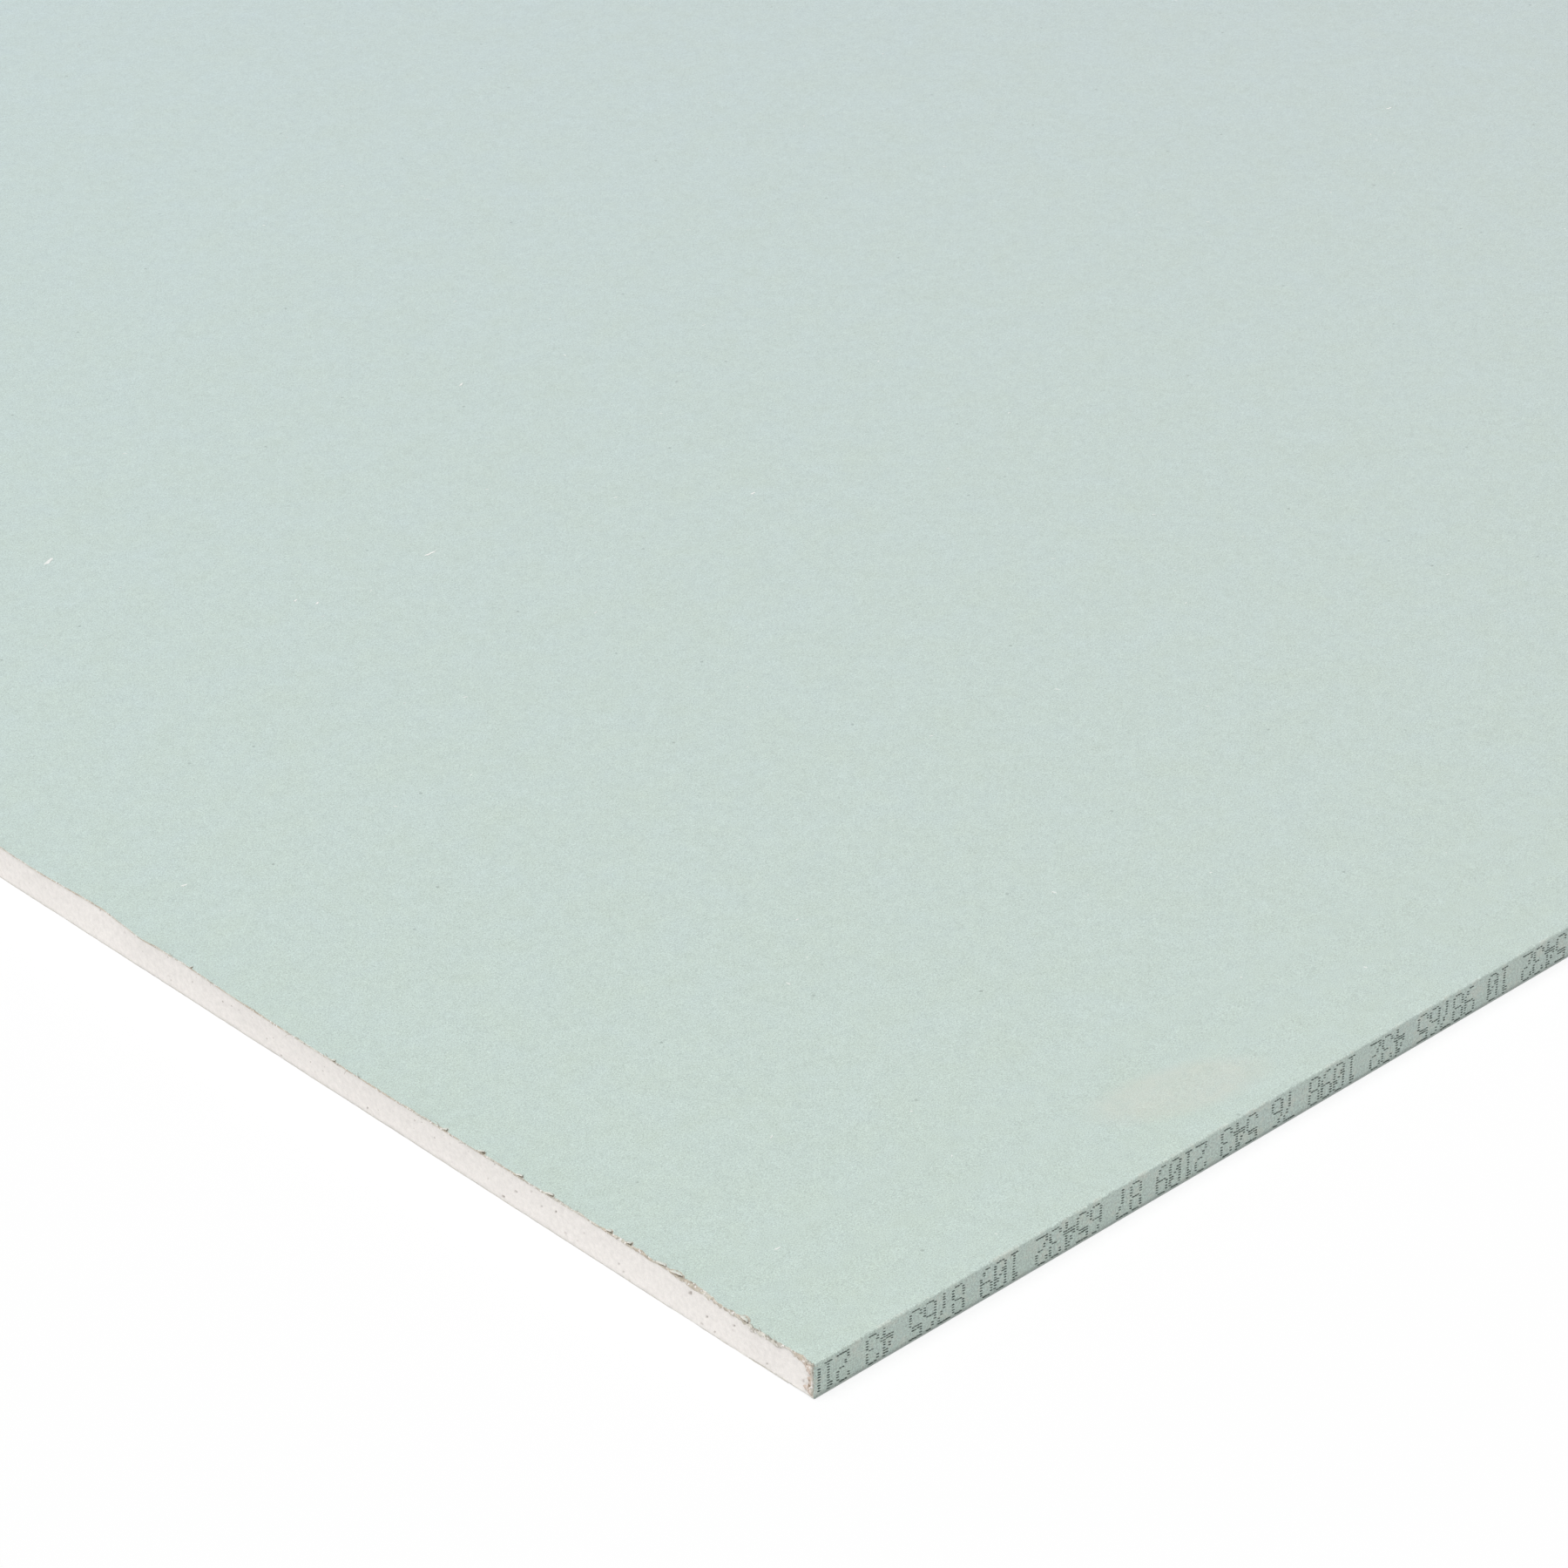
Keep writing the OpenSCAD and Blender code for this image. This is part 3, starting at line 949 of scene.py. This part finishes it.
def joined(name, meshes):
    """Several meshes as one, each with its own material."""
    objects = [bpy.data.objects.new(name, mesh) for mesh in meshes]
    for item in objects:
        bpy.context.scene.collection.objects.link(item)
    with bpy.context.temp_override(active_object=objects[0], selected_editable_objects=objects):
        bpy.ops.object.join()
    mesh = objects[0].data
    bpy.data.objects.remove(objects[0])
    return mesh


def seen_rays(tree):
    """The light path, and 1 for rays that show the background to the camera, in gloss or through glass."""
    path = add(tree, "ShaderNodeLightPath").outputs
    seen = path["Is Camera Ray"]
    for ray in ("Is Glossy Ray", "Is Transmission Ray"):
        seen = add(tree, "ShaderNodeMath", {0: seen, 1: path[ray]}, operation="MAXIMUM")
    return path, seen


# Operators

class DRYWALL_OT_plaster_core(Operator):
    """Builds the plaster core with its two broken, pitted ends"""

    bl_idname = "drywall.plaster_core"
    bl_label = "Plaster core"

    def execute(self, context):
        scene = context.scene
        cut = scene.drywall_cut
        across, low, high = core_columns(scene.drywall_edges, cut)
        rows = int(CORE_HIGH.z / cut.core_step) + 1
        ends = [core_end(end, across, low, high, rows, cut) for end in (NEAR, FAR)]
        points, pit, rim = (np.concatenate(parts) for parts in zip(*ends))
        near = np.arange(rows * len(across)).reshape(rows, len(across))
        far = near + near.size
        faces = []
        for index in (near[:, ::-1], far):
            quads = np.stack([index[:-1, :-1], index[:-1, 1:], index[1:, 1:], index[1:, :-1]], axis=-1)
            faces += quads.reshape(-1, 4).tolist()
        loops = [np.concatenate([g[0, :-1], g[:-1, -1], g[-1, :0:-1], g[:0:-1, 0]]) for g in (near, far)]
        ahead = [np.roll(loop, -1) for loop in loops]
        faces += np.column_stack([loops[0], ahead[0], ahead[1], loops[1]]).tolist()
        mesh = finished_mesh("plaster_core", points, faces, {"pit": pit, "rim": rim})
        finished_piece("plaster_core", mesh, plaster_material(scene.drywall_colours),
                       "gypsum_core")
        return {"FINISHED"}


class DRYWALL_OT_face_paper(Operator):
    """Builds the green face paper, wrapped round the long edges and torn at the cut ends"""

    bl_idname = "drywall.face_paper"
    bl_label = "Face paper"

    def execute(self, context):
        scene = context.scene
        columns = face_columns(scene.drywall_edges, scene.drywall_cut)
        mesh = torn_sheet("green_face_paper", *columns, scene.drywall_cut)
        finished_piece("green_face_paper", mesh, face_paper_material(scene.drywall_colours),
                       "face_paper")
        return {"FINISHED"}


class DRYWALL_OT_back_paper(Operator):
    """Builds the grey back paper that laps over the folded flaps"""

    bl_idname = "drywall.back_paper"
    bl_label = "Back paper"

    def execute(self, context):
        scene = context.scene
        cut = scene.drywall_cut
        across = np.linspace(BACK_HALF_WIDTH, -BACK_HALF_WIDTH, int(BACK_HALF_WIDTH / cut.paper_step))
        outer, inner = (
            np.column_stack([across, np.full(len(across), corner.z)]) for corner in (BACK_LOW, BACK_HIGH))
        mesh = torn_sheet("grey_back_paper", across, outer, inner, cut)
        finished_piece("grey_back_paper", mesh, back_paper_material(scene.drywall_colours),
                       "back_paper")
        return {"FINISHED"}


class DRYWALL_OT_torn_fringe(Operator):
    """Grows the loose fibres, lumps of ply and curled flakes of the torn ends"""

    bl_idname = "drywall.torn_fringe"
    bl_label = "Torn fringe"

    def execute(self, context):
        scene = context.scene
        material = torn_ply_material(scene.drywall_colours)
        paper = bpy.data.objects["green_face_paper"].data.materials[0]
        for end, name in ((NEAR, "torn_fringe_near"), (FAR, "torn_fringe_far")):
            mesh = joined(name, self.grow(end, scene.drywall_edges, scene.drywall_cut, material, paper))
            finished_piece(name, mesh, None)
        return {"FINISHED"}

    def grow(self, end, edges, cut, material, paper):
        """Fibres, lumps and curls of one torn end."""
        random = dice("fringe", end)
        run, outer, inner = face_columns(edges, cut)
        _, lip, green = tear_line(end, run, outer, cut)
        places = np.column_stack([end * (HALF_LENGTH - lip), (outer + inner) / 2])
        outward = outward_of(outer, inner)
        # The tear's low part is cut clean, so nothing grows there
        shown = places[:, 2] > 3 * MM
        axis = np.array([end, 0.0, 0.0])
        clump = np.clip(drift(run, "clump", end) + 0.4, 0.05, 1) * shown * fray(end, places[:, 1])
        grown = []
        for name, number, long, thick, lean in (
                ("fuzz", cut.fuzz, cut.fuzz_length, cut.fuzz_width, 1.0),
                ("hairs", cut.hairs, cut.hair_length, cut.hair_width, 0.5)):
            count = int(number * clump.mean() * run[-1] / MM)
            picked = random.choice(len(run), count, p=clump / clump.sum())
            # Fibres point out of the paper, with a lean along the tear and off the end
            tangent = np.cross(axis, outward[picked])
            mix = random.uniform((-0.1, 0.1, -lean), (lean, 1.0, lean), (count, 3))
            upward = unit(axis * mix[:, :1] + outward[picked] * mix[:, 1:2] + tangent * mix[:, 2:])
            along = unit(np.cross(upward, random.normal(size=(count, 3))))
            place = places[picked] + random.normal(scale=0.1 * MM, size=(count, 3))
            size = np.repeat(long * random.uniform(0.5, 1.5, (count, 1)), 3, axis=1)
            grown.append(scatter_mesh(name, place, upward, along, size, fibre_shape, {
                "Thickness": 0.5 * thick / long, "Material": material}))

        # Lumps lie where much ply is bare and at the corners
        burst = np.clip(green - lip - 0.35 * cut.bare_ply, 0, None)
        burst = burst + by_corner(places[:, 1], 3 * MM) * cut.bare_ply
        burst = burst * shown + 1e-9
        count = int(LUMPS * run[-1] / MM)
        picked = random.choice(len(run), count, p=burst / burst.sum())
        upward = outward[picked] + random.normal(scale=0.3, size=(count, 3))
        along = np.cross(axis, outward[picked]) + random.normal(scale=0.4, size=(count, 3))
        size = cut.lump_size * random.uniform((0.4, 0.2, 0.1), (1.0, 0.45, 0.25), (count, 3))
        inward = random.uniform(0, 1, (count, 1)) * (green - lip)[picked, None] * axis
        place = places[picked] - inward + outward[picked] * FACE_PAPER * 0.3
        lumps = scatter_mesh("lumps", place, unit(upward), unit(along), size, lump_shape, {
            "Crumple": 0.7, "Material": material})

        flakes = curl_mesh(end, places, cut, random)
        flakes.materials.append(paper)
        return [*grown, lumps, flakes]


class DRYWALL_OT_edge_numbers(Operator):
    """Prints plain running digits in ink dots along the near long edge, upside down as on the sheet"""

    bl_idname = "drywall.edge_numbers"
    bl_label = "Edge numbers"

    def execute(self, context):
        scene = context.scene
        sizes = scene.drywall_print
        run, outer, inner = face_columns(scene.drywall_edges, scene.drywall_cut)
        across, height = outer.T
        edge = np.flatnonzero((height > BACK_PAPER) & (across < -HALF_WIDTH + FACE_PAPER))
        middle = (run[edge[0]] + run[edge[-1]]) / 2 - sizes.drop
        random = dice("print")
        dots = []
        # The first digit starts off the near end
        x = -HALF_LENGTH - 2 * MM
        digit = 0
        group = 0
        while x < HALF_LENGTH:
            for _ in range(GROUP_SIZES[group % len(GROUP_SIZES)]):
                dots += self.digit_dots(DIGITS[digit % len(DIGITS)], x, sizes)
                digit += 1
                x += sizes.digit_pitch
            group += 1
            x += sizes.digit_pitch
        dots = np.array(dots)
        dots += random.normal(scale=0.05 * MM, size=dots.shape)
        # The torn ends carry no ink
        dots = dots[np.abs(dots[:, 0]) < HALF_LENGTH - 1.3 * MM]
        at = middle + dots[:, 1]
        section = points_at(at, run, outer)
        outward = outward_of(section, points_at(at, run, inner))
        length_way = np.tile((1.0, 0.0, 0.0), (len(at), 1))
        along = length_way * math.cos(sizes.slant) + np.cross(length_way, outward) * math.sin(sizes.slant)
        size = np.column_stack([
            sizes.dot_length * random.uniform(0.8, 1.15, len(at)),
            sizes.dot_height * random.uniform(0.8, 1.15, len(at)), np.ones(len(at))])
        places = np.column_stack([dots[:, 0], section])
        mesh = scatter_mesh("edge_numbers", places, outward, along, size, dot_shape, {
            "Film": sizes.ink_film, "Material": ink_material(scene.drywall_colours)})
        finished_piece("edge_numbers", mesh, None)
        return {"FINISHED"}

    def digit_dots(self, glyph, x, sizes):
        """Places along the edge and up it of one digit's dots; the tops point to the back."""
        pattern = glyph.split()
        dots = []
        for row, source in enumerate(TALL_ROWS):
            for column, mark in enumerate(pattern[source]):
                if mark == "1":
                    across = x + (DIGIT_COLUMNS - 1 - column) * sizes.column_pitch
                    up = (row - (len(TALL_ROWS) - 1) / 2) * sizes.row_pitch
                    dots.append((across, up))
        return dots


class DRYWALL_OT_face_lint(Operator):
    """Drops white lint on the green face"""

    bl_idname = "drywall.face_lint"
    bl_label = "Face lint"

    def execute(self, context):
        scene = context.scene
        edges = scene.drywall_edges
        random = dice("lint")
        spread = random.uniform((-1, -1), (1, 1), (LINT_COUNT, 2))
        spread = spread * (HALF_LENGTH - LINT_MARGIN, HALF_WIDTH - LINT_MARGIN)
        long = random.uniform(*LINT_LENGTHS, LINT_COUNT)
        wide = random.uniform(*LINT_WIDTHS, LINT_COUNT)
        chosen = np.array(NEAR_LINT) * MM - (HALF_LENGTH, HALF_WIDTH, 0, 0)
        lint = np.concatenate([np.column_stack([spread, long, wide]), chosen])
        count = len(lint)
        into_taper = np.clip(np.abs(lint[:, 1]) - (HALF_WIDTH - edges.taper_width), 0, None)
        height = FACE_HEIGHT - into_taper * edges.taper_depth / edges.taper_width
        places = np.column_stack([lint[:, :2], height + LINT_RAISE])
        # Most of it lies with the fibres of the paper, along the sheet
        turn = math.radians(-10) + random.normal(scale=math.radians(30), size=count)
        along = np.column_stack([np.cos(turn), np.sin(turn), np.zeros(count)])
        upward = np.tile((0.0, 0.0, 1.0), (count, 1))
        size = np.column_stack([lint[:, 2:], np.full(count, LINT_THICKNESS)])
        mesh = scatter_mesh("face_lint", places, upward, along, size, lint_shape, {
            "End share": 0.5, "Material": lint_material(scene.drywall_colours)})
        finished_piece("face_lint", mesh, None)
        return {"FINISHED"}


class DRYWALL_OT_stage(Operator):
    """Sets the floor, the light and the camera"""

    bl_idname = "drywall.stage"
    bl_label = "Stage"

    def execute(self, context):
        scene = context.scene
        stage = scene.drywall_stage
        self.lay_floor(scene, stage)
        self.light(scene, stage)
        self.aim_camera(scene, stage)
        scene.view_settings.view_transform = "Standard"
        return {"FINISHED"}

    def lay_floor(self, scene, stage):
        """A pale floor under the sheet; seen from below it is clear, so that the back shows."""
        half = stage.floor_size / 2
        corners = np.array([(-half, -half, 0), (half, -half, 0), (half, half, 0), (-half, half, 0)])
        mesh = finished_mesh("floor", corners - (0, 0, stage.floor_gap), [[0, 1, 2, 3]])
        material, tree, place = new_material("white studio floor")
        below = add(tree, "ShaderNodeNewGeometry").outputs["Backfacing"]
        matt = add(tree, "ShaderNodeBsdfDiffuse", {"Color": scene.drywall_colours.floor})
        white = add(tree, "ShaderNodeEmission", {"Color": (1, 1, 1, 1), "Strength": 1.0})
        path, seen = seen_rays(tree)
        # The floor that shows in the gap under the folded long edges doesn't glow
        axes = add(tree, "ShaderNodeSeparateXYZ", {"Vector": place}).outputs
        beyond = []
        for axis, edge in (("X", HALF_LENGTH - 0.5 * MM), ("Y", HALF_WIDTH - 0.1 * MM)):
            away = add(tree, "ShaderNodeMath", {0: axes[axis]}, operation="ABSOLUTE")
            beyond.append(add(tree, "ShaderNodeMath", {0: away, 1: edge}, operation="GREATER_THAN"))
        open_floor = add(tree, "ShaderNodeMath", {0: beyond[0], 1: beyond[1]}, operation="MAXIMUM")
        share = add(tree, "ShaderNodeMath", {0: open_floor, 1: stage.floor_glow}, operation="MULTIPLY")
        glow = add(tree, "ShaderNodeMath", {0: seen, 1: share}, operation="MULTIPLY")
        lit = add(tree, "ShaderNodeMixShader", {0: glow, 1: matt, 2: white})
        # The floor shines on what lies right above it, so that the back isn't black from below
        near = add(tree, "ShaderNodeMath", {0: path["Ray Length"], 1: stage.back_reach},
                   operation="LESS_THAN")
        close = add(tree, "ShaderNodeMath", {0: near, 1: path["Is Diffuse Ray"]}, operation="MULTIPLY")
        shine = add(tree, "ShaderNodeEmission", {"Color": (1, 1, 1, 1), "Strength": stage.back_light})
        topped = add(tree, "ShaderNodeMixShader", {0: close, 1: lit, 2: shine})
        clear = add(tree, "ShaderNodeBsdfTransparent")
        sided = add(tree, "ShaderNodeMixShader", {0: below, 1: topped, 2: clear})
        add(tree, "ShaderNodeOutputMaterial", {"Surface": sided})
        mesh.materials.append(material)
        floor = bpy.data.objects.new("floor", mesh)
        scene.collection.objects.link(floor)

    def light(self, scene, stage):
        """Even light from all sides and one soft key lamp on the near cut end's side."""
        world = bpy.data.worlds.new("studio")
        world.use_nodes = True
        tree = world.node_tree
        tree.nodes.clear()
        _, seen = seen_rays(tree)
        bright = add(tree, "ShaderNodeMapRange", {"Value": seen, "To Min": stage.sky, "To Max": 1.0})
        sky = add(tree, "ShaderNodeBackground", {"Color": (1, 1, 1, 1), "Strength": bright})
        add(tree, "ShaderNodeOutputWorld", {"Surface": sky})
        scene.world = world
        key = bpy.data.lights.new("key", "SUN")
        key.energy = stage.key
        key.angle = stage.key_softness
        lamp = bpy.data.objects.new("key", key)
        lamp.rotation_euler = (0, stage.key_height - math.pi / 2, stage.key_turn)
        lamp.location = (-HALF_LENGTH, 0, HALF_LENGTH)
        scene.collection.objects.link(lamp)

    def aim_camera(self, scene, stage):
        """The camera looks down on the near corner."""
        data = bpy.data.cameras.new("camera")
        data.lens = stage.lens
        data.sensor_width = 36.0
        camera = bpy.data.objects.new("camera", data)
        offset = stage.camera_offset
        camera.location = (offset[0] - HALF_LENGTH, offset[1] - HALF_WIDTH, offset[2] + BACK_PAPER)
        camera.rotation_euler = (math.pi / 2 - stage.pitch, 0, stage.heading - math.pi / 2)
        scene.collection.objects.link(camera)
        scene.camera = camera


class DRYWALL_PT_panel(Panel):
    """Lists the pieces of the drywall sheet"""

    bl_idname = "DRYWALL_PT_panel"
    bl_label = "Drywall sheet"
    bl_space_type = "VIEW_3D"
    bl_region_type = "UI"
    bl_category = "Drywall"

    def draw(self, context):
        for operator in OPERATORS:
            self.layout.operator(operator.bl_idname)
        for group in GROUPS:
            settings = getattr(context.scene, group)
            box = self.layout.box()
            for name in settings.__annotations__:
                box.prop(settings, name)


GROUPS = {
    "drywall_edges": DrywallEdgeSizes,
    "drywall_cut": DrywallCutSizes,
    "drywall_print": DrywallPrintSizes,
    "drywall_colours": DrywallColours,
    "drywall_stage": DrywallStage,
}
OPERATORS = (
    DRYWALL_OT_plaster_core,
    DRYWALL_OT_face_paper,
    DRYWALL_OT_back_paper,
    DRYWALL_OT_torn_fringe,
    DRYWALL_OT_edge_numbers,
    DRYWALL_OT_face_lint,
    DRYWALL_OT_stage,
)


def register():
    for group, kind in GROUPS.items():
        bpy.utils.register_class(kind)
        setattr(bpy.types.Scene, group, PointerProperty(type=kind))
    for operator in OPERATORS:
        bpy.utils.register_class(operator)
    bpy.utils.register_class(DRYWALL_PT_panel)


def unregister():
    bpy.utils.unregister_class(DRYWALL_PT_panel)
    for operator in reversed(OPERATORS):
        bpy.utils.unregister_class(operator)
    for group, kind in GROUPS.items():
        delattr(bpy.types.Scene, group)
        bpy.utils.unregister_class(kind)


def main():
    register()
    bpy.ops.drywall.plaster_core()
    bpy.ops.drywall.face_paper()
    bpy.ops.drywall.back_paper()
    bpy.ops.drywall.torn_fringe()
    bpy.ops.drywall.edge_numbers()
    bpy.ops.drywall.face_lint()
    bpy.ops.drywall.stage()


if __name__ == "__main__":
    main()
